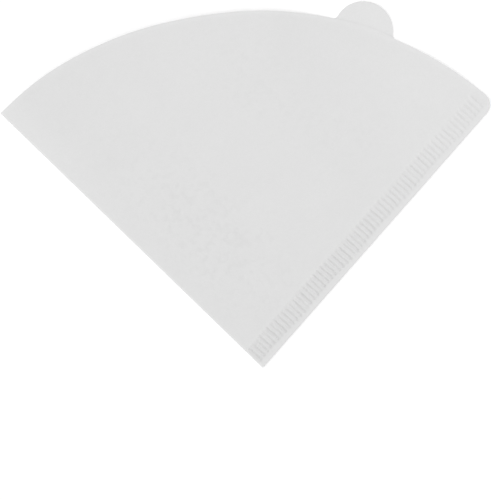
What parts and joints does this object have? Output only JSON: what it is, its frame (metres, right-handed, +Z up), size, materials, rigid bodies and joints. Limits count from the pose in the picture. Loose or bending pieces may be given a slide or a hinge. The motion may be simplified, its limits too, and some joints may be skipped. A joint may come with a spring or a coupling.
{
  "type": "paper coffee filter",
  "caption": "Flat folded paper coffee filter for a cone dripper, with a crimped seam along one edge, an arched mouth and a round pull tab.",
  "frame": {"origin": "middle of the box round the flat folded filter, on the surface that it lies on", "axes": "+X from the folded edge towards the crimped seam, +Y from the tip towards the mouth along the line that halves the angle at the tip, +Z up from the lower ply to the upper ply"},
  "size_m": [0.1674, 0.1236, 0.002],
  "materials": {
    "filter_paper": "matte, soft and slightly mottled"
  },
  "bodies": {
    "root": {"paper_filter": "filter_paper"}
  },
  "joints": []
}
